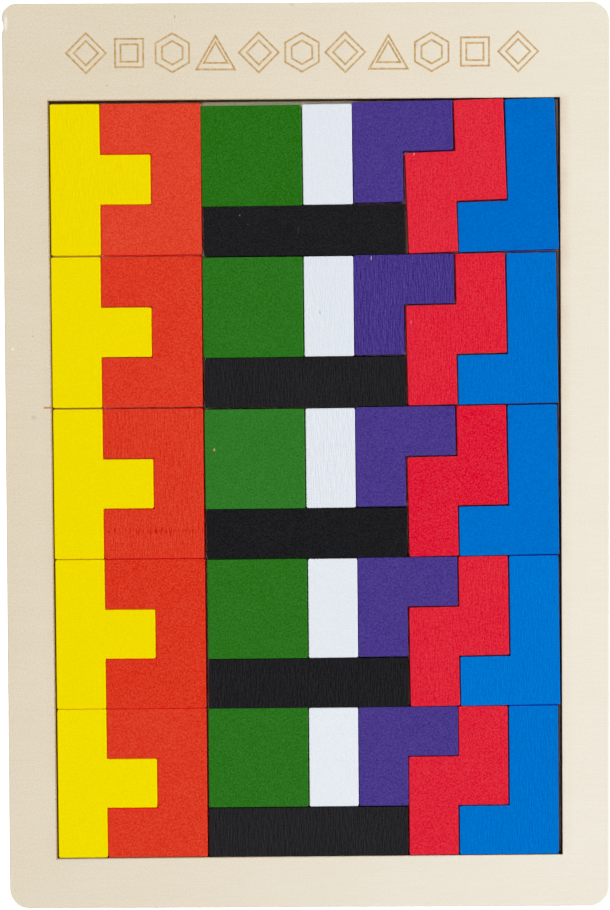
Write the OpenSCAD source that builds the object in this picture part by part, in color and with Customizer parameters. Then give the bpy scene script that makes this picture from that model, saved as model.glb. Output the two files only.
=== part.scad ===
// Tray puzzle: forty cut shapes of squares, packed into a framed window of 10 by 15 squares.
// The origin is at the middle of the tray's underside. +Y points to the wide title end, +Z is up.

/* [Squares] */
// Side of one square of the grid
cell = 15; // [12:0.5:20]
// Joint left between two neighbouring pieces, half of it cut off each side
piece_gap = 0.3; // [0.2:0.05:0.8]

/* [Pieces] */
// Thickness of the sheet that the pieces are cut from
piece_t = 5; // [3:0.5:8]
// Radius of the outer corners of a piece, seen from above
piece_corner_r = 0.5; // [0.4:0.1:1.5]
// Width of the eased edge all round a piece, above and below
piece_arris = 0.15; // [0.1:0.05:0.35]

/* [Tray] */
// Thickness of the frame sheet, which is the depth of the window
frame_t = 5; // [3:0.5:8]
// Thickness of the backing board under the frame
base_t = 3; // [2:0.5:6]
// Width of the rim left of the window
rim_left = 13.9; // [10:0.1:30]
// Width of the rim right of the window
rim_right = 14.4; // [10:0.1:30]
// Width of the rim at the near end of the window
rim_near = 15.4; // [10:0.1:40]
// Width of the title panel at the far end of the window
title_panel = 28.5; // [12:0.5:60]
// Radius of the tray's outer corners
corner_r = 6; // [4:0.5:9]
// Radius of the far left corner, which is sanded less
worn_corner_r = 4.2; // [2:0.1:9]
// Width of the eased outer edges of the tray, above and below
tray_arris = 0.2; // [0.2:0.1:1]

/* [Window] */
// Spare width of the window beyond its ten squares
play_across = 1.7; // [0.8:0.1:4]
// Spare length of the window beyond its fifteen squares
play_along = 1.1; // [0.5:0.1:4]
// Turn of the window against the tray's outline, in degrees
window_turn = 0.2; // [0:0.1:0.5]

/* [Hidden] */
$fn = 48;
COLUMNS = 10;
BAND_ROWS = 3;

// One entry for each kind of piece: name, colour, blocks, then how it lies in its band.
// A block is a full rectangle of squares: column, row from the top, columns wide, rows deep.
// The lie is the third of the band that it slides with, then its own slide right and down
// and its turn. Slides are counted in joints, and the last two grow with the band's fan.
KINDS = [
    ["yellow_tee", "gold", [[0, 0, 1, 3], [0, 1, 2, 1]], [0, 0, 0, 0]],
    ["orange_channel", "orangered", [[1, 0, 2, 1], [2, 0, 1, 3], [1, 2, 2, 1]], [0, 0, -0.05, 0]],
    ["green_square", "darkgreen", [[3, 0, 2, 2]], [1, -0.2, 1.25, 0.15]],
    ["white_domino", "ghostwhite", [[5, 0, 1, 2]], [1, 0.1, 0.85, 0.15]],
    ["purple_corner", "darkslateblue", [[6, 0, 2, 1], [6, 0, 1, 2]], [1, -0.15, -0.3, 0.4]],
    ["black_bar", "black", [[3, 2, 4, 1]], [2, -0.5, 0.8, 0.1]],
    ["red_zigzag", "crimson", [[8, 0, 1, 2], [7, 1, 2, 1], [7, 1, 1, 2]], [2, -0.05, -0.55, 0.85]],
    ["blue_hook", "dodgerblue", [[9, 0, 1, 3], [8, 2, 2, 1]], [2, 0.3, -0.8, 0.65]]
];

// One entry for each band, from the title end: the slides right of its left, middle and right
// pieces, the slide down of the whole band, and its fan.
BANDS = [
    [[0.75, 0.4, 2.45], 2.7, 1.95],
    [[0.25, 0.7, 2.25], 3.55, 1.0],
    [[0.5, 1.35, 2.65], 4.15, 0.95],
    [[0.9, 2.6, 3.4], 4.15, 0.7],
    [[1.0, 2.3, 2.05], 3.8, 0.2]
];

window_w = COLUMNS * cell + play_across;
window_l = len(BANDS) * BAND_ROWS * cell + play_along;
tray_w = rim_left + window_w + rim_right;
tray_l = rim_near + window_l + title_panel;
tray_corners = [corner_r, corner_r, corner_r, worn_corner_r];
window_x = (rim_left - rim_right) / 2;
window_y = (rim_near - title_panel) / 2;

// The window's play holds at least this many slides, so that no turned piece meets a wall
SLIDES_ACROSS = 5.6;
SLIDES_ALONG = 3.6;
slide = min(piece_gap, play_across / SLIDES_ACROSS, play_along / SLIDES_ALONG);
slide_turn = slide / cell * 180 / PI;

// How far a cut runs past the faces that it cuts through
overcut = 1;

function piece_name(kind, band) = str(kind[0], "_band", band + 1);

// The middle of a piece's box along axis 0, the columns, or axis 1, the rows
function middle(blocks, axis) =
    (min([for (b = blocks) b[axis]]) + max([for (b = blocks) b[axis] + b[axis + 2]])) / 2;

// A sheet with eased upper and lower edges and round corners, standing on z = 0.
// radii are those of the near left, near right, far right and far left corners.
module eased_sheet(w, l, t, radii, foot, head) {
    difference() {
        intersection() {
            linear_extrude(t) square([w, l], center = true);
            rotate([90, 0, 0]) linear_extrude(l, center = true) eased_section(w, t, foot, head);
            rotate([90, 0, 90]) linear_extrude(w, center = true) eased_section(l, t, foot, head);
        }
        for (i = [0 : 3]) {
            side = i % 2 == 0 ? w : l;
            depth = i % 2 == 0 ? l : w;
            rotate(90 * i) translate([radii[i] - side / 2, radii[i] - depth / 2, 0])
                corner_waste(radii[i], t, foot, head);
        }
    }
}

// The section of a sheet of width w, with its four edges eased
module eased_section(w, t, foot, head) {
    h = w / 2;
    polygon([[foot - h, 0], [h - foot, 0], [h, foot], [h, t - head], [h - head, t],
        [head - h, t], [-h, t - head], [-h, foot]]);
}

// What is cut away at a near left corner: the square corner less an eased round post
module corner_waste(r, t, foot, head) {
    difference() {
        translate([-r - overcut, -r - overcut, -overcut])
            cube([r + overcut, r + overcut, t + 2 * overcut]);
        rotate_extrude() polygon([[0, -2 * overcut], [r - foot, -2 * overcut], [r - foot, 0], [r, foot],
            [r, t - head], [r - head, t], [r - head, t + 2 * overcut], [0, t + 2 * overcut]]);
    }
}

// Places its children in the window: x right and y down from the far left corner of the window
module in_window() {
    translate([window_x, window_y, base_t]) rotate(window_turn)
        translate([-window_w / 2, window_l / 2, 0]) children();
}

module tray_base() {
    color("burlywood") eased_sheet(tray_w, tray_l, base_t, tray_corners, tray_arris, 0);
}

module tray_frame() {
    color("wheat") difference() {
        translate([0, 0, base_t]) eased_sheet(tray_w, tray_l, frame_t, tray_corners, 0, tray_arris);
        in_window() translate([0, -window_l, -overcut]) cube([window_w, window_l, frame_t + 2 * overcut]);
    }
}

// One piece, cut to its blocks, and laid where it has slid to in its band
module piece(kind, band) {
    blocks = kind[2];
    lie = kind[3];
    slides = BANDS[band];
    fan = slides[2];
    mid = [middle(blocks, 0), middle(blocks, 1)];
    right = slide * (slides[0][lie[0]] + lie[1]);
    down = slide * (slides[1] + lie[2] * fan);
    color(kind[1]) in_window()
        translate([mid[0] * cell + right, -(mid[1] + band * BAND_ROWS) * cell - down, 0])
            rotate(slide_turn * lie[3] * fan)
                for (b = blocks)
                    translate([b[0] + b[2] / 2 - mid[0], mid[1] - b[1] - b[3] / 2, 0] * cell)
                        eased_sheet(b[2] * cell - piece_gap, b[3] * cell - piece_gap, piece_t,
                            [for (i = [0 : 3]) piece_corner_r], piece_arris, piece_arris);
}

tray_base();
tray_frame();
for (band = [0 : len(BANDS) - 1]) for (kind = KINDS)
    piece(kind, band);
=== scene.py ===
"""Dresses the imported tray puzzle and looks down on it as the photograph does.

A shallow basswood plywood tray holds forty painted wooden pieces, eight shapes in each of five bands.
Places are in the tray's own frame: the origin is at the middle of the underside, +Y points to the title
end and +Z up.
"""

import logging
import math
from dataclasses import dataclass, field
from enum import Enum
from typing import Any

import bpy
from bpy.types import Material, NodeSocket, Object, World
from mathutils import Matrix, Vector


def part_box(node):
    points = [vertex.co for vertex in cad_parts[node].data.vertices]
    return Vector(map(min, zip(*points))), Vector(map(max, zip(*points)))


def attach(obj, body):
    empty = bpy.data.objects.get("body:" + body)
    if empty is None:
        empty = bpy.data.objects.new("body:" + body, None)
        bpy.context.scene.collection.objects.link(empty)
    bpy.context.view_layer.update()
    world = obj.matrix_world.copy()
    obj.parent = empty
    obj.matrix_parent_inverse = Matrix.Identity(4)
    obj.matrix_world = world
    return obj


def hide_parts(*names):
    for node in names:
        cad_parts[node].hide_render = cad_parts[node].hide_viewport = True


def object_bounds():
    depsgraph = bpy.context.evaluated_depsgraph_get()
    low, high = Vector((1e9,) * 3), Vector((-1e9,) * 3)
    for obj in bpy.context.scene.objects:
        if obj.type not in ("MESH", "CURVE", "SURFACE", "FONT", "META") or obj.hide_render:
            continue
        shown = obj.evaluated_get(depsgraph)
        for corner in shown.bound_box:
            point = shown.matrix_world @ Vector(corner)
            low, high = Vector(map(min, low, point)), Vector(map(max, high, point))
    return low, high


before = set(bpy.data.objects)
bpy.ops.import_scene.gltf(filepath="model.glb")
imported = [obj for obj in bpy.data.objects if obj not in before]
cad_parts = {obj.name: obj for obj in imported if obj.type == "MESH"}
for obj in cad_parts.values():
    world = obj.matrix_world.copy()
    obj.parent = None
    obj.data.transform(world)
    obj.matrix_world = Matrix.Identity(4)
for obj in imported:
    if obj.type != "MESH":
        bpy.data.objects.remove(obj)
CAD_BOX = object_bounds()

MM = 0.001
LOG = logging.getLogger("tray_puzzle")
Place = tuple[float, float, float]


def linear(colour: str) -> tuple[float, float, float, float]:
    """Turns an sRGB colour such as "#dcc8a0" into linear light.

    Args:
        colour: The colour as six hex digits after a hash.

    Returns:
        Red, green and blue in linear light, and a full alpha.
    """
    parts = [int(colour[i:i + 2], 16) / 255 for i in (1, 3, 5)]
    light = [c / 12.92 if c <= 0.04045 else ((c + 0.055) / 1.055) ** 2.4 for c in parts]
    return (*light, 1.0)


def drop_all() -> None:
    """Deselects everything, as an operator acts on all that is selected."""
    bpy.ops.object.select_all(action="DESELECT")


def pick(*things: Object) -> None:
    """Selects these objects alone and makes the last one active.

    Args:
        *things: The objects to select.
    """
    drop_all()
    for thing in things:
        thing.select_set(True)
    bpy.context.view_layer.objects.active = things[-1]


def merged_copy(node: str, name: str) -> Object:
    """Copies a CAD node's mesh, joins its loose triangles and clears the inner edges of its flat faces.

    Args:
        node: The CAD node's name.
        name: The name of the copy.

    Returns:
        The copy, at the origin, with its own mesh.
    """
    weld = 0.001 * MM
    flat = math.radians(0.5)
    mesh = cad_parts[node].data.copy()
    mesh.name = name
    mesh.materials.clear()
    thing = bpy.data.objects.new(name, mesh)
    bpy.context.scene.collection.objects.link(thing)
    pick(thing)
    bpy.ops.object.mode_set(mode="EDIT")
    bpy.ops.mesh.select_all(action="SELECT")
    bpy.ops.mesh.remove_doubles(threshold=weld)
    bpy.ops.mesh.dissolve_limited(angle_limit=flat)
    bpy.ops.object.mode_set(mode="OBJECT")
    return thing


def soften(thing: Object, width: float) -> None:
    """Rounds every edge of a merged mesh that bends more than the curved corners' own facets do.

    Args:
        thing: The object to round.
        width: The width of the rounding, in metres.
    """
    above_facets = math.radians(30)
    bevel = thing.modifiers.new("rounded_edges", "BEVEL")
    bevel.width = width
    bevel.segments = 2
    bevel.limit_method = "ANGLE"
    bevel.angle_limit = above_facets
    bevel.use_clamp_overlap = False
    pick(thing)
    bpy.ops.object.modifier_apply(modifier=bevel.name)


def smooth(thing: Object) -> None:
    """Shades a mesh smooth where it bends gently, with normals that keep its broad faces flat.

    Args:
        thing: The object to shade.
    """
    gentle = math.radians(32)
    pick(thing)
    bpy.ops.object.shade_smooth_by_angle(angle=gentle)
    weighted = thing.modifiers.new("flat_broad_faces", "WEIGHTED_NORMAL")
    weighted.keep_sharp = True
    weighted.weight = 100
    bpy.ops.object.modifier_apply(modifier=weighted.name)


@dataclass
class Recipe:
    """The node tree of a material, or of the room's light, while it is put together."""

    owner: Material | World

    def __post_init__(self) -> None:
        """Starts from an empty node tree."""
        self.owner.use_nodes = True
        self.owner.node_tree.nodes.clear()

    def add(self, kind: str, inputs: dict[str | int, Any] | None = None, out: str = "",
            **settings: Any) -> NodeSocket:
        """Adds a node with its settings, values and links.

        Args:
            kind: The node's type.
            inputs: For a socket's name or number, its value or the output that feeds it.
            out: The name of the output that is wanted, or nothing for the first live one.
            **settings: The node's own properties.

        Returns:
            The wanted output, or the node's last input where it has no output.
        """
        tree = self.owner.node_tree
        made = tree.nodes.new(kind)
        for key, value in settings.items():
            setattr(made, key, value)
        for key, value in (inputs or {}).items():
            live = [s for s in made.inputs if s.enabled]
            socket = made.inputs[key] if isinstance(key, int) else next(s for s in live if s.name == key)
            if isinstance(value, NodeSocket):
                tree.links.new(value, socket)
            else:
                socket.default_value = value
        found = [s for s in made.outputs if s.enabled and out in ("", s.name)]
        return found[0] if found else made.inputs[-1]

    def upward(self) -> NodeSocket:
        """Gives how far the surface faces up: 0 on an upright side, 0.7 on an eased edge and 1 on the top."""
        facing = self.add("ShaderNodeNewGeometry", out="Normal")
        return self.add("ShaderNodeSeparateXYZ", {"Vector": facing}, out="Z")

    def finish(self, colour: NodeSocket, height: NodeSocket, depth: float, **sockets: Any) -> Material:
        """Ends a material's recipe with a bumped surface shader.

        Args:
            colour: The output that gives the colour.
            height: The output that gives the relief, from 0 to 1.
            depth: The relief's depth in metres.
            **sockets: Values or outputs for the shader's other sockets, spaces written as underscores.

        Returns:
            The finished material.
        """
        normal = self.add("ShaderNodeBump", {"Strength": 1.0, "Distance": depth, "Height": height})
        others = {name.replace("_", " "): value for name, value in sockets.items()}
        surface = self.add("ShaderNodeBsdfPrincipled", {"Base Color": colour, "Normal": normal, **others})
        self.add("ShaderNodeOutputMaterial", {"Surface": surface})
        return self.owner


@dataclass(frozen=True)
class Grain:
    """A pattern of wood or paint, a noise whose marks have a real size in millimetres."""

    across: float
    along: float
    through: float
    detail: float = 2.0

    def draw(self, r: Recipe, place: NodeSocket) -> NodeSocket:
        """Draws the pattern.

        Args:
            r: The recipe that it joins.
            place: The output that gives the place on the piece, in metres.

        Returns:
            The output of the pattern, which lies round a half.
        """
        scale = tuple(1 / (size * MM) for size in (self.across, self.along, self.through))
        stretched = r.add("ShaderNodeMapping", {"Vector": place, "Scale": scale})
        return r.add("ShaderNodeTexNoise", {"Vector": stretched, "Scale": 1.0, "Detail": self.detail})


@dataclass(frozen=True)
class Spot:
    """A mark on the top: its middle and size in millimetres, its colour, its cover and how torn it is."""

    x: float
    y: float
    wide: float
    tall: float
    colour: str
    cover: float = 1.0
    torn: float = 0.9

    def lay(self, r: Recipe, place: NodeSocket, ragged: NodeSocket, under: NodeSocket) -> NodeSocket:
        """Lays the mark over a colour, with a torn outline that fades out.

        Args:
            r: The recipe that it joins.
            place: The output that gives the place on the piece, in metres.
            ragged: A pattern that breaks the mark's outline.
            under: The colour under it.

        Returns:
            The output of the colour with the mark on it.
        """
        middle = (self.x * MM, self.y * MM, 0)
        share = (2 / (self.wide * MM), 2 / (self.tall * MM), 0)
        away = r.add("ShaderNodeVectorMath", {0: place, 1: middle}, operation="SUBTRACT")
        scaled = r.add("ShaderNodeVectorMath", {0: away, 1: share}, operation="MULTIPLY")
        reach = r.add("ShaderNodeVectorMath", {0: scaled}, out="Value", operation="LENGTH")
        torn = r.add("ShaderNodeMath", {0: ragged, 1: self.torn, 2: reach}, operation="MULTIPLY_ADD")
        mask = r.add("ShaderNodeMapRange", {"Value": torn, "From Min": 1.0, "From Max": 1.5,
                                            "To Min": self.cover, "To Max": 0.0})
        return r.add("ShaderNodeMix", {"Factor": mask, "A": under, "B": linear(self.colour)},
                     data_type="RGBA")


@dataclass(frozen=True)
class PaintedWood:
    """Satin enamel rolled on sanded plywood: an even colour, mottled by the fibres, with worn arrises and a
    painted highlight on them.

    Its tone runs from deep, 0, to light, 1. A piece's attribute ridge gives how strongly its fibres are
    raised, and coat how much paler than usual its paint is.
    """

    name: str
    slot: str
    deep: str
    light: str
    bare: str
    crack: str
    # The colour of the upright sides, brighter than the top: painted bounce light for the joints.
    side: str
    # How strongly the upright sides glow: painted bounce light.
    glow: float = 0.0
    edge_wear_and_highlight: float = 0.3
    cracks: float = 0.0
    roughness: float = 0.36
    patina: float = 0.06
    spots: tuple[Spot, ...] = ()
    # A roller leaves a stipple of about 0.2 mm, and cracks along the grain are 0.1 mm wide. They are drawn
    # two and three times as coarse to show.
    stipple: Grain = Grain(0.42, 0.5, 0.45, 0.0)
    cracking: Grain = Grain(0.4, 7, 1.0, 2.0)
    blotch: Grain = Grain(1.8, 2.2, 1.8)
    cloud: Grain = Grain(9, 14, 9)
    fibre: Grain = Grain(0.3, 2.8, 1.5, 0.0)
    chipping: Grain = Grain(1.6, 1.6, 0.8, 3.0)
    # How far the stipple moves the tone, partly as the roller's mottle and partly as painted glints, on a
    # plain board and on one with raised fibres, then how far the blotches and the clouds each do, and the
    # painted light and shade on the flanks of the fibres.
    mottle: tuple[float, float] = (2.3, 1.8)
    patchy: float = 0.3
    flank_light_and_shade: float = 1.15
    # The depth of the relief in millimetres, and the stipple's share of it.
    relief: float = 0.14
    stipple_share: float = 0.14

    def material(self) -> Material:
        """Mixes the paint as a node material.

        Returns:
            The finished material.
        """
        r = Recipe(bpy.data.materials.new(self.name))
        place = r.add("ShaderNodeTexCoord", out="Object")
        ridge = r.add("ShaderNodeAttribute", out="Fac", attribute_name="ridge")
        stipple = self.stipple.draw(r, place)
        blotch = self.blotch.draw(r, place)
        raised = self.fibre.draw(r, place)
        up = r.upward()
        tone = self.tone(r, place, ridge, stipple, blotch, raised)
        colour = r.add("ShaderNodeMix", {"Factor": tone, "A": linear(self.deep), "B": linear(self.light)},
                       data_type="RGBA", clamp_factor=False)
        colour = self.cracked(r, place, ridge, colour)
        # The upright sides get a brighter, richer colour than the top: painted bounce light that lightens and
        # tints the dark joints.
        painted_bounce_sides = r.add("ShaderNodeMapRange", {"Value": up, "From Min": 0.35, "From Max": 0.75,
                                              "To Min": 1.0, "To Max": 0.0})
        colour = r.add("ShaderNodeMix", {"Factor": painted_bounce_sides, "A": colour, "B": linear(self.side)},
                       data_type="RGBA")
        colour = self.worn(r, place, up, colour)
        for spot in self.spots:
            colour = spot.lay(r, place, raised, colour)
        lift = r.add("ShaderNodeMath", {0: raised, 1: 0.5}, operation="SUBTRACT")
        lift = r.add("ShaderNodeMath", {0: lift, 1: ridge}, operation="MULTIPLY")
        height = r.add("ShaderNodeMath", {0: stipple, 1: self.stipple_share, 2: lift},
                       operation="MULTIPLY_ADD")
        rough = r.add("ShaderNodeMapRange", {"Value": blotch, "From Min": 0.3, "From Max": 0.7,
                                             "To Min": self.roughness - self.patina,
                                             "To Max": self.roughness + self.patina})
        # The upright sides of the bright paints also glow a little: painted bounce light, standing in for the
        # light that bounces between the sides of a 0.3 mm joint more often than a renderer follows it.
        painted_bounce_glow = r.add("ShaderNodeMath", {0: painted_bounce_sides, 1: self.glow}, operation="MULTIPLY") if self.glow else 0.0
        # The sheen takes the paint's own colour, so that it doesn't grey the tops when seen from above.
        return r.finish(colour, height, self.relief * MM, Roughness=rough, IOR=1.48, Specular_IOR_Level=0.3,
                        Specular_Tint=linear(self.light), Emission_Color=linear(self.side),
                        Emission_Strength=painted_bounce_glow)

    def tone(self, r: Recipe, place: NodeSocket, ridge: NodeSocket, stipple: NodeSocket, blotch: NodeSocket,
             raised: NodeSocket) -> NodeSocket:
        """Adds the patterns up to the paint's tone, which lies round a half on a usual coat.

        Args:
            r: The material being made.
            place: The place on the piece.
            ridge: How strongly the board's fibres are raised.
            stipple: The pattern that the roller left.
            blotch: The pattern of small blotches.
            raised: The pattern of raised fibres.

        Returns:
            The output of the tone.
        """
        # The stipple is partly the roller's mottle and partly painted glints of the satin paint.
        plain, ridged = self.mottle
        strength = r.add("ShaderNodeMapRange", {"Value": ridge, "To Min": plain, "To Max": ridged})
        level = r.add("ShaderNodeMath", {0: stipple, 1: 0.5}, operation="SUBTRACT")
        tone = r.add("ShaderNodeMath", {0: level, 1: strength, 2: 0.5 - self.patchy},
                     operation="MULTIPLY_ADD")
        for pattern in (blotch, self.cloud.draw(r, place)):
            tone = r.add("ShaderNodeMath", {0: pattern, 1: self.patchy, 2: tone}, operation="MULTIPLY_ADD")
        coat = r.add("ShaderNodeAttribute", out="Fac", attribute_name="coat")
        tone = r.add("ShaderNodeMath", {0: tone, 1: coat}, operation="ADD")
        # Wood fibres that the first coat raised stand as ridges along the grain. Each gets a painted
        # highlight on one flank and painted shade on the other, a fibre's width apart, so that the board as a
        # whole stays even.
        aside = r.add("ShaderNodeVectorMath", {0: place, 1: (self.fibre.across * MM, 0, 0)}, operation="ADD")
        painted_flank_light = r.add("ShaderNodeMath", {0: raised, 1: self.fibre.draw(r, aside)}, operation="SUBTRACT")
        painted_flank_light = r.add("ShaderNodeMath", {0: painted_flank_light, 1: ridge}, operation="MULTIPLY")
        return r.add("ShaderNodeMath", {0: painted_flank_light, 1: self.flank_light_and_shade, 2: tone}, operation="MULTIPLY_ADD")

    def cracked(self, r: Recipe, place: NodeSocket, ridge: NodeSocket, colour: NodeSocket) -> NodeSocket:
        """Opens fine cracks along the grain of a board whose fibres are raised.

        Args:
            r: The material being made.
            place: The place on the piece.
            ridge: How strongly the board's fibres are raised.
            colour: The colour of the paint.

        Returns:
            The output of the colour with its cracks.
        """
        open_at = self.cracking.draw(r, place)
        crack = r.add("ShaderNodeMapRange", {"Value": open_at, "From Min": 0.6, "From Max": 0.75,
                                             "To Min": 0.0, "To Max": self.cracks})
        crack = r.add("ShaderNodeMath", {0: crack, 1: ridge}, operation="MULTIPLY", use_clamp=True)
        return r.add("ShaderNodeMix", {"Factor": crack, "A": colour, "B": linear(self.crack)},
                     data_type="RGBA")

    def worn(self, r: Recipe, place: NodeSocket, up: NodeSocket, colour: NodeSocket) -> NodeSocket:
        """Lets bare wood through the paint where a hand has worn the arrises, which also paints a highlight
        on them.

        Args:
            r: The material being made.
            place: The place on the piece.
            up: How far the surface faces up.
            colour: The colour of the paint.

        Returns:
            The output of the colour with its worn and highlit arrises.
        """
        # The pale arrises are partly wear and partly painted highlight.
        arris = r.add("ShaderNodeMath", {0: up, 1: 0.7, 2: 0.22}, operation="COMPARE")
        chip = self.chipping.draw(r, place)
        worn_and_highlit_share = r.add("ShaderNodeMapRange", {"Value": chip, "From Min": 0.52, "From Max": 0.66,
                                            "To Min": self.edge_wear_and_highlight / 4, "To Max": self.edge_wear_and_highlight})
        worn_and_highlit_share = r.add("ShaderNodeMath", {0: worn_and_highlit_share, 1: arris}, operation="MULTIPLY")
        return r.add("ShaderNodeMix", {"Factor": worn_and_highlit_share, "A": colour, "B": linear(self.bare)}, data_type="RGBA")


@dataclass(frozen=True)
class Window:
    """The laser-cut opening in the frame sheet: its middle and size in millimetres, its turn in degrees."""

    x: float = -0.25
    y: float = -6.55
    wide: float = 151.7
    long: float = 226.1
    turn: float = 0.2

    def beyond(self, r: Recipe, place: NodeSocket) -> tuple[NodeSocket, NodeSocket]:
        """Measures how far a point lies outside the side walls and the end walls, below zero inside them.

        Args:
            r: The material being made.
            place: The place on the piece.

        Returns:
            The outputs of both distances in metres.
        """
        middle = (self.x * MM, self.y * MM, 0)
        half = (self.wide / 2 * MM, self.long / 2 * MM, 0)
        away = r.add("ShaderNodeVectorMath", {0: place, 1: middle}, operation="SUBTRACT")
        square = r.add("ShaderNodeMapping", {"Vector": away, "Rotation": (0, 0, -math.radians(self.turn))})
        folded = r.add("ShaderNodeVectorMath", {0: square}, operation="ABSOLUTE")
        outside = r.add("ShaderNodeVectorMath", {0: folded, 1: half}, operation="SUBTRACT")
        return (r.add("ShaderNodeSeparateXYZ", {"Vector": outside}, out="X"),
                r.add("ShaderNodeSeparateXYZ", {"Vector": outside}, out="Y"))


@dataclass(frozen=True)
class SandedPly:
    """Sanded basswood plywood: a pale, nearly plain face with its grain across, and three plies at the edge.

    Lengths are in millimetres. The two glue lines lie at the heights in plies. The smoke's share grows along
    its aim, from the least at its start to all of its cover at its stop.
    """

    name: str
    warm: str = "#dfd2bb"
    cool: str = "#e8e0d1"
    fibre: str = "#cdbb98"
    core: str = "#c9ae84"
    glue: str = "#8d6f49"
    smoke: str = "#c49a6c"
    scorch: str = "#a3762e"
    plies: tuple[float, float] = (4.1, 6.9)
    glue_line: float = 0.14
    glue_cover: float = 0.6
    waver: float = 0.3
    smoke_reach: float = 4.0
    smoke_cover: float = 0.34
    smoke_clean: float = 0.5
    smoke_aim: Place = (1.0, 0.5, 0.0)
    smoke_start: float = 55
    smoke_stop: float = 110
    smoke_least: float = 0.25
    window: Window = Window()
    spots: tuple[Spot, ...] = ()
    # Vessels are 0.05 mm wide, too fine to show, so they are drawn as specks eight times as coarse.
    speckle: Grain = Grain(0.42, 0.45, 0.42, 0.0)
    fibres: Grain = Grain(9, 0.6, 9, 3.0)
    growth: Grain = Grain(120, 6, 120)
    cloud: Grain = Grain(26, 18, 26)
    puff: Grain = Grain(7, 8, 7)

    def material(self) -> Material:
        """Mixes the plywood as a node material.

        Returns:
            The finished material.
        """
        r = Recipe(bpy.data.materials.new(self.name))
        place = r.add("ShaderNodeTexCoord", out="Object")
        speckle = self.speckle.draw(r, place)
        up = r.upward()
        colour = self.face(r, place, speckle)
        colour = self.edge(r, place, up, speckle, colour)
        outside = self.window.beyond(r, place)
        colour = self.smoked(r, place, up, outside, colour)
        colour = self.scorched(r, place, speckle, outside, colour)
        for spot in self.spots:
            colour = spot.lay(r, place, speckle, colour)
        return r.finish(colour, speckle, 0.03 * MM, Roughness=0.75, IOR=1.45, Specular_IOR_Level=0.3)

    def face(self, r: Recipe, place: NodeSocket, speckle: NodeSocket) -> NodeSocket:
        """Colours the face veneer: warmer and speckled most at the far left corner, paler and cooler at the
        near right.

        Args:
            r: The material being made.
            place: The place on the piece.
            speckle: The pattern of sanding specks.

        Returns:
            The output of the veneer's colour.
        """
        # The veneer pales towards the near right: partly its own tone, partly painted light from the right.
        tone_and_light_slant = r.add("ShaderNodeVectorMath", {0: place, 1: (1, -0.3, 0)}, out="Value",
                      operation="DOT_PRODUCT")
        tone = r.add("ShaderNodeMapRange", {"Value": tone_and_light_slant, "From Min": -85 * MM, "From Max": 112 * MM,
                                            "To Min": 0.0, "To Max": 1.18})
        rough = r.add("ShaderNodeMath", {0: tone, 1: -0.5, 2: 1.4}, operation="MULTIPLY_ADD")
        growth, cloud, fibres = (grain.draw(r, place) for grain in (self.growth, self.cloud, self.fibres))
        for pattern, share in ((growth, 0.25), (cloud, 0.25), (fibres, 0.5), (speckle, rough)):
            shift = r.add("ShaderNodeMath", {0: pattern, 1: 0.5}, operation="SUBTRACT")
            tone = r.add("ShaderNodeMath", {0: shift, 1: share, 2: tone}, operation="MULTIPLY_ADD")
        return r.add("ShaderNodeMix", {"Factor": tone, "A": linear(self.warm), "B": linear(self.cool)},
                     data_type="RGBA", clamp_factor=False)

    def edge(self, r: Recipe, place: NodeSocket, up: NodeSocket, speckle: NodeSocket,
             colour: NodeSocket) -> NodeSocket:
        """Shows the plies on the faces that stand upright: the core's end grain between two thin glue lines.

        Args:
            r: The material being made.
            place: The place on the piece.
            up: How far the surface faces up.
            speckle: The pattern of sanding specks.
            colour: The colour of the face veneer.

        Returns:
            The output of the colour with its edges.
        """
        low, high = (level * MM for level in self.plies)
        waver = self.waver * MM
        height = r.add("ShaderNodeSeparateXYZ", {"Vector": place}, out="Z")
        wavy = r.add("ShaderNodeMath", {0: speckle, 1: waver, 2: height}, operation="MULTIPLY_ADD")
        core = r.add("ShaderNodeMath", {0: wavy, 1: (low + high + waver) / 2, 2: (high - low) / 2},
                     operation="COMPARE")
        end = r.add("ShaderNodeMix", {"Factor": speckle, "A": linear(self.core), "B": linear(self.fibre)},
                    data_type="RGBA")
        layered = r.add("ShaderNodeMix", {"Factor": core, "A": colour, "B": end}, data_type="RGBA")
        for level in (low, high):
            line = r.add("ShaderNodeMath", {0: wavy, 1: level + waver / 2, 2: self.glue_line / 2 * MM},
                         operation="COMPARE")
            line = r.add("ShaderNodeMath", {0: line, 1: self.glue_cover}, operation="MULTIPLY")
            layered = r.add("ShaderNodeMix", {"Factor": line, "A": layered, "B": linear(self.glue)},
                            data_type="RGBA")
        upright = r.add("ShaderNodeMath", {0: up, 1: 0.0, 2: 0.5}, operation="COMPARE")
        return r.add("ShaderNodeMix", {"Factor": upright, "A": colour, "B": layered}, data_type="RGBA")

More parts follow.
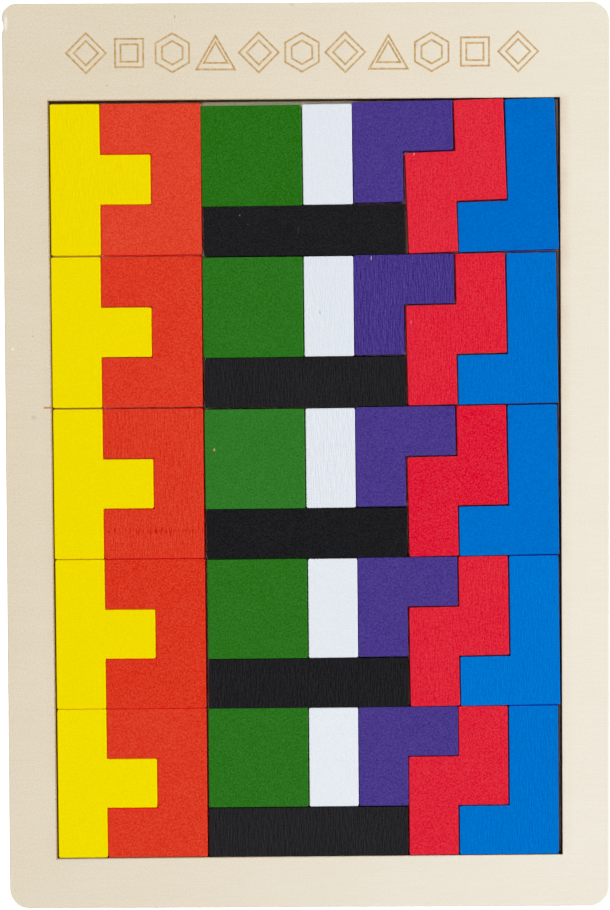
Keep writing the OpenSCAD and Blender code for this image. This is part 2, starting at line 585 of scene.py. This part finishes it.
    def smoked(self, r: Recipe, place: NodeSocket, up: NodeSocket, outside: tuple[NodeSocket, NodeSocket],
               colour: NodeSocket) -> NodeSocket:
        """Tans the top veneer beside the window's side walls with puffs of smoke from the laser cut, and
        partly as painted shade on the backing board.

        Args:
            r: The material being made.
            place: The place on the piece.
            up: How far the surface faces up.
            outside: How far the place lies outside the window's side walls and its end walls.
            colour: The colour of the clean wood.

        Returns:
            The output of the colour with its smoke and painted shade.
        """
        side, end = outside
        beside = r.add("ShaderNodeMath", {0: side}, operation="ABSOLUTE")
        smoke_and_shade = r.add("ShaderNodeMapRange", {"Value": beside, "From Min": 0.0,
                                            "From Max": self.smoke_reach * MM,
                                            "To Min": self.smoke_cover, "To Max": 0.0},
                     interpolation_type="SMOOTHSTEP")
        patch = r.add("ShaderNodeMapRange", {"Value": self.puff.draw(r, place), "From Min": 0.42,
                                             "From Max": 0.62, "To Min": self.smoke_clean, "To Max": 1.0})
        level = r.add("ShaderNodeMapRange", {"Value": end, "From Min": -1 * MM, "From Max": 1.5 * MM,
                                             "To Min": 1.0, "To Max": 0.0})
        smoke_and_shade_drift = r.add("ShaderNodeVectorMath", {0: place, 1: self.smoke_aim}, out="Value",
                      operation="DOT_PRODUCT")
        smoke_and_shade_drift = r.add("ShaderNodeMapRange", {"Value": smoke_and_shade_drift, "From Min": self.smoke_start * MM,
                                             "From Max": self.smoke_stop * MM, "To Min": self.smoke_least,
                                             "To Max": 1.0})
        for share in (patch, smoke_and_shade_drift, level, up):
            smoke_and_shade = r.add("ShaderNodeMath", {0: smoke_and_shade, 1: share}, operation="MULTIPLY", use_clamp=True)
        return r.add("ShaderNodeMix", {"Factor": smoke_and_shade, "A": colour, "B": linear(self.smoke)},
                     data_type="RGBA")

    def scorched(self, r: Recipe, place: NodeSocket, speckle: NodeSocket,
                 outside: tuple[NodeSocket, NodeSocket], colour: NodeSocket) -> NodeSocket:
        """Browns a rim about 0.3 mm wide round the window, strongly at its left and faintly at its right.

        Args:
            r: The material being made.
            place: The place on the piece.
            speckle: The pattern that breaks the rim's outline.
            outside: How far the place lies outside the window's side walls and its end walls.
            colour: The colour of the smoked wood.

        Returns:
            The output of the colour with its scorched rim.
        """
        near = r.add("ShaderNodeMath", {0: outside[0], 1: outside[1]}, operation="MAXIMUM")
        near = r.add("ShaderNodeMath", {0: near}, operation="ABSOLUTE")
        near = r.add("ShaderNodeMath", {0: speckle, 1: self.waver * MM, 2: near}, operation="MULTIPLY_ADD")
        east = r.add("ShaderNodeSeparateXYZ", {"Vector": place}, out="X")
        cover = r.add("ShaderNodeMapRange", {"Value": east, "From Min": -70 * MM, "From Max": 60 * MM,
                                             "To Min": 0.7, "To Max": 0.1})
        rim = r.add("ShaderNodeMapRange", {"Value": near, "From Min": 0.38 * MM, "From Max": 0.56 * MM,
                                           "To Min": cover, "To Max": 0.0})
        return r.add("ShaderNodeMix", {"Factor": rim, "A": colour, "B": linear(self.scorch)},
                     data_type="RGBA")


@dataclass(frozen=True)
class LaserBurn:
    """Wood that a laser has burnt: matt and streaked, from tan where it skims to black where it cuts.

    A paling is how much lighter the burn is at the tray's top than at its underside.
    """

    name: str
    dark: str
    light: str
    grain: Grain
    paling: float = 0.0
    roughness: float = 0.9

    def material(self) -> Material:
        """Mixes the burnt wood as a node material.

        Returns:
            The finished material.
        """
        r = Recipe(bpy.data.materials.new(self.name))
        place = r.add("ShaderNodeTexCoord", out="Object")
        streak = self.grain.draw(r, place)
        tone = r.add("ShaderNodeMapRange", {"Value": streak, "From Min": 0.35, "From Max": 0.65,
                                            "To Min": -self.paling / 2, "To Max": 1 - self.paling})
        height = r.add("ShaderNodeSeparateXYZ", {"Vector": place}, out="Z")
        tray_top = CAD_BOX[1].z
        tone = r.add("ShaderNodeMath", {0: height, 1: self.paling / tray_top, 2: tone},
                     operation="MULTIPLY_ADD", use_clamp=True)
        colour = r.add("ShaderNodeMix", {"Factor": tone, "A": linear(self.dark), "B": linear(self.light)},
                       data_type="RGBA")
        return r.finish(colour, streak, 0.05 * MM, Roughness=self.roughness, IOR=1.4)


@dataclass(frozen=True)
class LitAcrylic:
    """A white acrylic sheet, lit from below: satin, almost even, and with a little light of its own."""

    name: str
    dim: str = "#f4f4f4"
    bright: str = "#f8f8f8"
    glow: float = 0.55

    def material(self) -> Material:
        """Mixes the acrylic as a node material.

        Returns:
            The finished material.
        """
        r = Recipe(bpy.data.materials.new(self.name))
        place = r.add("ShaderNodeTexCoord", out="Object")
        tone = Grain(60, 60, 60).draw(r, place)
        colour = r.add("ShaderNodeMix", {"Factor": tone, "A": linear(self.dim), "B": linear(self.bright)},
                       data_type="RGBA")
        return r.finish(colour, tone, 0.01 * MM, Roughness=0.6, Emission_Color=linear("#ffffff"),
                        Emission_Strength=self.glow)


class Kind(Enum):
    """The eight shapes of a band, by the names of their nodes."""

    TEE = "yellow_tee"
    CHANNEL = "orange_channel"
    SQUARE = "green_square"
    DOMINO = "white_domino"
    CORNER = "purple_corner"
    BAR = "black_bar"
    ZIGZAG = "red_zigzag"
    HOOK = "blue_hook"


PAINTS: dict[Kind, PaintedWood] = {
    Kind.TEE: PaintedWood(
        "yellow_enamel_on_plywood", "yellow_paint", deep="#edd600", light="#f1dc00", bare="#fbea20",
        crack="#d2b400", side="#ffe600", glow=0.07, edge_wear_and_highlight=0.2, cracks=0.5),
    Kind.CHANNEL: PaintedWood(
        "orange_enamel_on_plywood", "orange_paint", deep="#d42b15", light="#de452e", bare="#eda79a",
        crack="#b01c10", side="#ff1400", glow=0.07, edge_wear_and_highlight=0.12,
        spots=(Spot(-46.0, -21.6, 70.0, 3.8, "#c40c02", 0.85, torn=2.6),)),
    Kind.SQUARE: PaintedWood(
        "green_enamel_on_plywood", "green_paint", deep="#23680c", light="#307628", bare="#6f9a60",
        crack="#174e00", side="#3cb820", glow=0.04, edge_wear_and_highlight=0.15,
        spots=(Spot(-27.85, 2.65, 0.5, 0.8, "#cf9590"),)),
    Kind.DOMINO: PaintedWood(
        "white_enamel_on_plywood", "white_paint", deep="#dee3ea", light="#e4e8ef", bare="#fafcff",
        crack="#bcc4d0", side="#f4f8ff", edge_wear_and_highlight=0.5, cracks=0.3,
        spots=(Spot(3.8, 43.5, 0.35, 1.6, "#5f7fc0", 0.8),)),
    Kind.CORNER: PaintedWood(
        "purple_enamel_on_plywood", "purple_paint", deep="#402e7c", light="#50408f", bare="#7d6fae",
        crack="#33216c", side="#5a3cc8", edge_wear_and_highlight=0.2,
        spots=(Spot(19.1, 59.5, 0.26, 1.5, "#d8c8cc", 0.75),)),
    Kind.BAR: PaintedWood(
        "black_enamel_on_plywood", "black_paint", deep="#17181a", light="#242325", bare="#4c4b52",
        crack="#0b0b0e", side="#1c1a1c", edge_wear_and_highlight=0.12,
        spots=(Spot(-19.9, 72.3, 0.4, 0.4, "#8a8a90"), Spot(-17.5, 69.6, 0.35, 0.35, "#77777c", 0.4),
               Spot(-2.5, 67.8, 0.4, 2.4, "#3c3c42", 0.6))),
    Kind.ZIGZAG: PaintedWood(
        "crimson_enamel_on_plywood", "red_paint", deep="#d60c30", light="#de323e", bare="#eda0a6",
        crack="#b4001f", side="#ff0030", glow=0.04, edge_wear_and_highlight=0.2,
        spots=(Spot(31.9, 90.4, 0.4, 1.4, "#eea0a4", 0.7), Spot(30.9, 40.4, 0.6, 1.0, "#e8808a", 0.6))),
    Kind.HOOK: PaintedWood(
        "blue_enamel_on_plywood", "blue_paint", deep="#0066bf", light="#0073cb", bare="#5f9fe0",
        crack="#0056ac", side="#0080ff", glow=0.01, edge_wear_and_highlight=0.25),
}

# How strongly the raised fibres show, beside the roller's stipple, on the boards where they do.
RIDGES: dict[tuple[Kind, int], float] = {
    (Kind.TEE, 1): 0.5,
    (Kind.CHANNEL, 3): 0.8,
    (Kind.DOMINO, 1): 0.2,
    (Kind.DOMINO, 2): 0.45,
    (Kind.DOMINO, 3): 0.7,
    (Kind.DOMINO, 5): 0.15,
    (Kind.CORNER, 2): 1.2,
    (Kind.BAR, 2): 1.1,
    (Kind.BAR, 4): 1.3,
    (Kind.BAR, 5): 1.6,
    (Kind.ZIGZAG, 1): 0.4,
    (Kind.ZIGZAG, 2): 0.6,
    (Kind.ZIGZAG, 4): 0.6,
    (Kind.HOOK, 2): 0.5,
    (Kind.HOOK, 4): 0.65,
    (Kind.HOOK, 5): 0.75,
}

# How much paler than its kind's usual paint a piece's coat is, in steps from the deep to the light tone.
COATS: dict[tuple[Kind, int], float] = {
    (Kind.TEE, 5): 0.3,
    (Kind.CHANNEL, 1): 0.35,
    (Kind.CHANNEL, 4): -0.15,
    (Kind.SQUARE, 1): -0.2,
    (Kind.SQUARE, 3): 0.45,
    (Kind.DOMINO, 1): -0.3,
    (Kind.DOMINO, 2): -0.5,
    (Kind.DOMINO, 3): -0.3,
    (Kind.DOMINO, 5): 0.4,
    (Kind.CORNER, 2): -0.2,
    (Kind.BAR, 2): 0.3,
    (Kind.BAR, 3): -0.15,
    (Kind.BAR, 4): 0.1,
    (Kind.BAR, 5): 0.6,
    (Kind.ZIGZAG, 1): 0.15,
    (Kind.ZIGZAG, 3): -0.2,
    (Kind.HOOK, 1): -0.35,
    (Kind.HOOK, 4): 0.4,
    (Kind.HOOK, 5): 0.2,
}


@dataclass
class PuzzlePieces:
    """The forty loose pieces, each cut from plywood, eased all round and painted."""

    bands: int = 5
    rounding: float = 0.07 * MM
    paints: dict[Kind, Material] = field(default_factory=dict)

    def mix_paints(self) -> None:
        """Mixes one material for each kind of piece."""
        self.paints = {kind: paint.material() for kind, paint in PAINTS.items()}

    def make(self, kind: Kind, band: int) -> Object:
        """Makes one piece in place of its CAD node.

        Args:
            kind: The shape of the piece.
            band: Its band, counted from the title end.

        Returns:
            The finished piece.
        """
        node = f"{kind.value}_band{band}"
        piece = merged_copy(node, f"{node}_painted")
        soften(piece, self.rounding)
        smooth(piece)
        board = (kind, band)
        self.dress(piece, kind, {"ridge": RIDGES.get(board, 0.0), "coat": COATS.get(board, 0.0)})
        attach(piece, "root")
        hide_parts(node)
        return piece

    def dress(self, piece: Object, kind: Kind, traits: dict[str, float]) -> None:
        """Paints a piece, and notes how its own board and coat differ from the others.

        Args:
            piece: The piece to paint.
            kind: Its shape, which sets its paint.
            traits: The strength of its raised fibres, and how much paler its coat is.
        """
        piece.data.materials.append(self.paints[kind])
        for name, value in traits.items():
            note = piece.data.attributes.new(name, "FLOAT", "POINT")
            note.data.foreach_set("value", [value] * len(piece.data.vertices))

    def build(self) -> list[Object]:
        """Makes all the pieces, band by band."""
        self.mix_paints()
        return [self.make(kind, band) for band in range(1, self.bands + 1) for kind in Kind]


class Figure(Enum):
    """The engraved figures: their sides, their turn in degrees, and the size that makes them look alike."""

    DIAMOND = (4, 0.0, 1.0)
    SQUARE = (4, 45.0, 1.0)
    HEXAGON = (6, 30.0, 0.97)
    TRIANGLE = (3, 90.0, 1.12)


@dataclass
class TitleRow:
    """A row of double-lined figures, skimmed into the title panel by a laser."""

    figures: tuple[Figure, ...] = (
        Figure.DIAMOND, Figure.SQUARE, Figure.HEXAGON, Figure.TRIANGLE, Figure.DIAMOND, Figure.HEXAGON,
        Figure.DIAMOND, Figure.TRIANGLE, Figure.HEXAGON, Figure.SQUARE, Figure.DIAMOND)
    middle_x: float = -1.2 * MM
    middle_y: float = 120.3 * MM
    pitch: float = 12.8 * MM
    outer: float = 5.9 * MM
    inner: float = 3.6 * MM
    line: float = 0.6 * MM
    sunk: float = 0.02 * MM

    def groove(self, figure: Figure, x: float, reach: float, top: float) -> Object:
        """Makes the cutter of one outline: a ring of straight bars with a square section on its edge.

        Args:
            figure: The figure to draw.
            x: Its middle along the row.
            reach: The corner radius of a square that looks as large.
            top: The height of the panel's face.

        Returns:
            The cutter, with its place in its mesh.
        """
        sides, turn, share = figure.value
        radius = reach * share
        narrowing = math.cos(math.pi / sides)
        # A triangle reaches twice as far above its middle as below it, so it is set lower.
        lower = radius / 4 if figure is Figure.TRIANGLE else 0.0
        middle = (x, self.middle_y - lower, top + self.sunk)
        drop_all()
        bpy.ops.mesh.primitive_torus_add(
            major_segments=sides, minor_segments=4, major_radius=radius,
            minor_radius=self.line / 2 / narrowing, location=middle, rotation=(0, 0, math.radians(turn)))
        cutter = bpy.context.object
        bpy.ops.object.mode_set(mode="EDIT")
        bpy.ops.mesh.select_all(action="SELECT")
        bpy.ops.transform.resize(value=(1, 1, narrowing), center_override=middle)
        bpy.ops.mesh.normals_make_consistent(inside=False)
        bpy.ops.object.mode_set(mode="OBJECT")
        bpy.ops.object.transform_apply(location=True, rotation=True, scale=True)
        return cutter

    def cutters(self, top: float) -> list[Object]:
        """Makes the cutters of all the outlines.

        Args:
            top: The height of the panel's face.

        Returns:
            Two cutters for each figure.
        """
        start = self.middle_x - self.pitch * (len(self.figures) - 1) / 2
        return [self.groove(figure, start + i * self.pitch, reach, top)
                for i, figure in enumerate(self.figures) for reach in (self.outer, self.inner)]


@dataclass
class Tray:
    """The plywood tray: a backing board, and a frame sheet with a laser-cut window and an engraved panel."""

    title: TitleRow = field(default_factory=TitleRow)
    rounding: float = 0.09 * MM
    # An upright face further inside the sheet's outline than this is a wall of the window.
    wall_inset: float = 5 * MM
    tick_place: tuple[float, float] = (-77.3 * MM, 15.4 * MM)
    tick_length: float = 2.6 * MM
    chip_place: Place = (-92.9 * MM, 128.4 * MM, 5.0 * MM)
    chip_radius: float = 3.6 * MM
    chip_stretch: float = 2.4
    sheet_ply: SandedPly = SandedPly("sanded_basswood_plywood", spots=(
        Spot(-81.6, 12.5, 1.7, 1.5, "#a6a7a6", 0.36),
        Spot(-38.8, 130.8, 0.4, 1.1, "#8d7c66", 0.6),
        Spot(-59.1, 110.8, 0.4, 0.5, "#8d7c66", 0.6),
        Spot(-49.6, 110.8, 0.4, 0.4, "#8d7c66", 0.6),
        Spot(-81.7, 36.7, 0.5, 0.5, "#8d7c66", 0.5),
        Spot(-4.1, 134.4, 2.0, 0.9, "#b6b7c2", 0.4),
        Spot(-87.7, 32.9, 0.7, 0.9, "#f4f1ea", 0.9),
        Spot(-88.8, 129.2, 1.1, 5.2, "#f3ede0", 0.85)))
    # The board is browned, most towards the near right: partly smoke stain, partly painted shade in the gaps.
    board_ply: SandedPly = SandedPly(
        "smoked_and_shaded_basswood_plywood", plies=(0.8, 2.2), smoke="#8c6560", smoke_reach=400, smoke_cover=0.95,
        smoke_clean=0.75, smoke_aim=(1.0, -0.8, 0.0), smoke_start=-73, smoke_stop=-33, smoke_least=0.0)
    # The beam's streaks run down the walls. The left wall, which faces the key light, is a lighter brown than
    # the
    # charred others: partly a lighter burn, partly painted light.
    wall_burn: LaserBurn = LaserBurn(
        "laser_charred_wall", "#20130f", "#84604c", Grain(0.25, 0.25, 3.0, 3.0), paling=0.7)
    left_lit_burn: LaserBurn = LaserBurn(
        "laser_browned_wall", "#4a3314", "#c09c58", Grain(0.25, 0.25, 3.0, 3.0), paling=0.7)
    groove_burn: LaserBurn = LaserBurn(
        "laser_scorched_groove", "#bd9762", "#d6b684", Grain(0.9, 0.9, 0.9, 3.0))
    tick_burn: LaserBurn = LaserBurn("laser_scorched_tick", "#a8703a", "#cda472", Grain(1.2, 1.2, 1.2))

    def cut(self, sheet: Object, cutters: list[Object], burn: Material) -> None:
        """Cuts grooves into a sheet and gives them the burnt finish.

        Args:
            sheet: The sheet to cut.
            cutters: The shapes to take away, which are used up.
            burn: The material of the cut faces.
        """
        for cutter in cutters:
            cutter.data.materials.clear()
            cutter.data.materials.append(burn)
        pick(*cutters)
        bpy.ops.object.join()
        tool = bpy.context.object
        groove = sheet.modifiers.new("cut", "BOOLEAN")
        groove.operation = "DIFFERENCE"
        groove.solver = "EXACT"
        groove.object = tool
        groove.material_mode = "TRANSFER"
        groove.use_self = True
        pick(sheet)
        bpy.ops.object.modifier_apply(modifier=groove.name)
        bpy.data.objects.remove(tool)

    def tick_cutter(self, top: float) -> Object:
        """Makes the cutter of the short burnt line that the laser left beside the window.

        Args:
            top: The height of the frame's face.

        Returns:
            The cutter, with its place in its mesh.
        """
        drop_all()
        bpy.ops.mesh.primitive_cylinder_add(vertices=4, radius=self.title.line / 2, depth=self.tick_length,
                                            location=(*self.tick_place, top + self.title.sunk),
                                            rotation=(0, math.radians(90), 0))
        bpy.ops.object.transform_apply(location=True, rotation=True, scale=True)
        return bpy.context.object

    def chip_cutter(self) -> Object:
        """Makes the ragged lump that is missing from the tray's edge near its far left corner.

        Returns:
            The cutter, with its place in its mesh.
        """
        drop_all()
        bpy.ops.mesh.primitive_ico_sphere_add(subdivisions=3, radius=self.chip_radius,
                                              location=self.chip_place)
        lump = bpy.context.object
        bpy.ops.object.mode_set(mode="EDIT")
        bpy.ops.mesh.select_all(action="SELECT")
        bpy.ops.transform.resize(value=(1, 1, self.chip_stretch), center_override=self.chip_place)
        bpy.ops.transform.vertex_random(offset=0.12 * MM, seed=3)
        bpy.ops.object.mode_set(mode="OBJECT")
        bpy.ops.object.transform_apply(location=True, rotation=True, scale=True)
        return lump

    def burn_walls(self, sheet: Object, ply: Material) -> None:
        """Gives the frame sheet its wood and its window's walls their burns.

        Args:
            sheet: The frame sheet, not engraved yet.
            ply: The material of its wood.
        """
        charred, lit_browned = self.wall_burn.material(), self.left_lit_burn.material()
        finishes = [ply, charred, lit_browned]
        for finish in finishes:
            sheet.data.materials.append(finish)
        low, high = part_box("tray_frame")
        for face in sheet.data.polygons:
            upright = abs(face.normal.z) < 0.5
            within = min(face.center.x - low.x, high.x - face.center.x, face.center.y - low.y,
                         high.y - face.center.y) > self.wall_inset
            # The left wall gets the lighter brown: partly its own burn, partly painted light.
            burn = lit_browned if face.normal.x > 0.5 else charred
            face.material_index = finishes.index(burn if upright and within else ply)

    def build_frame(self) -> Object:
        """Makes the frame sheet: eased, chipped, engraved, and burnt on its window's walls.

        Returns:
            The finished sheet.
        """
        ply = self.sheet_ply.material()
        sheet = merged_copy("tray_frame", "tray_frame_engraved")
        soften(sheet, self.rounding)
        self.burn_walls(sheet, ply)
        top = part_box("tray_frame")[1].z
        self.cut(sheet, [self.chip_cutter()], ply)
        self.cut(sheet, self.title.cutters(top), self.groove_burn.material())
        self.cut(sheet, [self.tick_cutter(top)], self.tick_burn.material())
        smooth(sheet)
        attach(sheet, "root")
        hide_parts("tray_frame")
        return sheet

    def build_base(self) -> Object:
        """Makes the backing board, smoked where the laser cut the sheet above it and darkened as painted
        shade in the gaps.

        Returns:
            The finished board.
        """
        ply = self.board_ply.material()
        board = merged_copy("tray_base", "tray_base_board")
        soften(board, self.rounding)
        board.data.materials.append(ply)
        self.cut(board, [self.chip_cutter()], ply)
        smooth(board)
        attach(board, "root")
        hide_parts("tray_base")
        return board


@dataclass
class SoftBox:
    """A studio lamp with a rectangular diffuser, aimed at the tray, in metres and watts.

    A polarised one leaves no glare.
    """

    name: str
    place: Place
    size: tuple[float, float]
    power: float
    colour: Place = (1.0, 1.0, 1.0)
    polarised: bool = False

    def hang(self) -> Object:
        """Hangs the lamp at its place.

        Returns:
            The lamp.
        """
        lamp = bpy.data.lights.new(self.name, "AREA")
        lamp.shape = "RECTANGLE"
        lamp.size, lamp.size_y = self.size
        lamp.energy = self.power
        lamp.color = self.colour
        box = bpy.data.objects.new(self.name, lamp)
        box.visible_glossy = not self.polarised
        box.location = self.place
        box.rotation_euler = (-Vector(self.place)).to_track_quat("-Z", "Y").to_euler()
        bpy.context.scene.collection.objects.link(box)
        return box


@dataclass
class Studio:
    """The plain pale floor, the soft light and the camera straight above the tray, with angles in degrees."""

    floor_radius: float = 3.0
    floor_finish: LitAcrylic = LitAcrylic("white_acrylic_table")
    camera_place: Place = (-1.2 * MM, 21.7 * MM, 606.9 * MM)
    camera_turn: Place = (-1.981, -0.044, -0.255)
    camera_angle: float = 25.51
    sensor: float = 24.0
    lamps: tuple[SoftBox, ...] = (
        SoftBox("key_right", (1.5, 0.42, 1.3), (0.5, 0.34), 30.6, (0.97, 0.99, 1.0)),
        SoftBox("overhead", (-0.29, -0.27, 1.7), (0.45, 0.45), 12.8, polarised=True),
        SoftBox("fill_left", (-1.45, -0.45, 1.3), (0.8, 0.8), 5.3, (1.0, 0.97, 0.92)),
    )

    def place_camera(self) -> None:
        """Sets the camera where the photograph was taken from."""
        lens = bpy.data.cameras.new("camera_above")
        lens.sensor_fit = "VERTICAL"
        lens.sensor_height = self.sensor
        lens.lens = self.sensor / 2 / math.tan(math.radians(self.camera_angle / 2))
        lens.clip_start = 0.01
        camera = bpy.data.objects.new("camera_above", lens)
        camera.location = self.camera_place
        camera.rotation_euler = [math.radians(a) for a in self.camera_turn]
        bpy.context.scene.collection.objects.link(camera)
        bpy.context.scene.camera = camera

    def lay_floor(self) -> None:
        """Lays a round white table under the tray."""
        drop_all()
        bpy.ops.mesh.primitive_circle_add(vertices=96, radius=self.floor_radius, fill_type="NGON")
        floor = bpy.context.object
        floor.name = "table"
        floor.data.materials.append(self.floor_finish.material())

    def fill_room(self) -> None:
        """Lights the room with pale walls and a dim ceiling, so that the tops reflect little."""
        room = bpy.data.worlds.new("pale_room")
        r = Recipe(room)
        way = r.add("ShaderNodeTexCoord", out="Generated")
        height = r.add("ShaderNodeSeparateXYZ", {"Vector": way}, out="Z")
        strength = r.add("ShaderNodeMapRange", {"Value": height, "From Min": 0.05, "From Max": 0.6,
                                                "To Min": 0.5, "To Max": 0.03})
        light = r.add("ShaderNodeBackground", {"Color": linear("#fffdf8"), "Strength": strength})
        r.add("ShaderNodeOutputWorld", {"Surface": light})
        bpy.context.scene.world = room

    def build(self) -> None:
        """Sets up the whole studio, with colours shown as they are."""
        self.place_camera()
        self.lay_floor()
        self.fill_room()
        for lamp in self.lamps:
            lamp.hang()
        bpy.context.scene.view_settings.view_transform = "Standard"


def main() -> None:
    """Sets the studio and builds the tray and its pieces."""
    logging.basicConfig(level=logging.INFO, format="%(message)s")
    Studio().build()
    tray = Tray()
    for piece in (tray.build_base(), tray.build_frame(), *PuzzlePieces().build()):
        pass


if __name__ == "__main__":
    main()
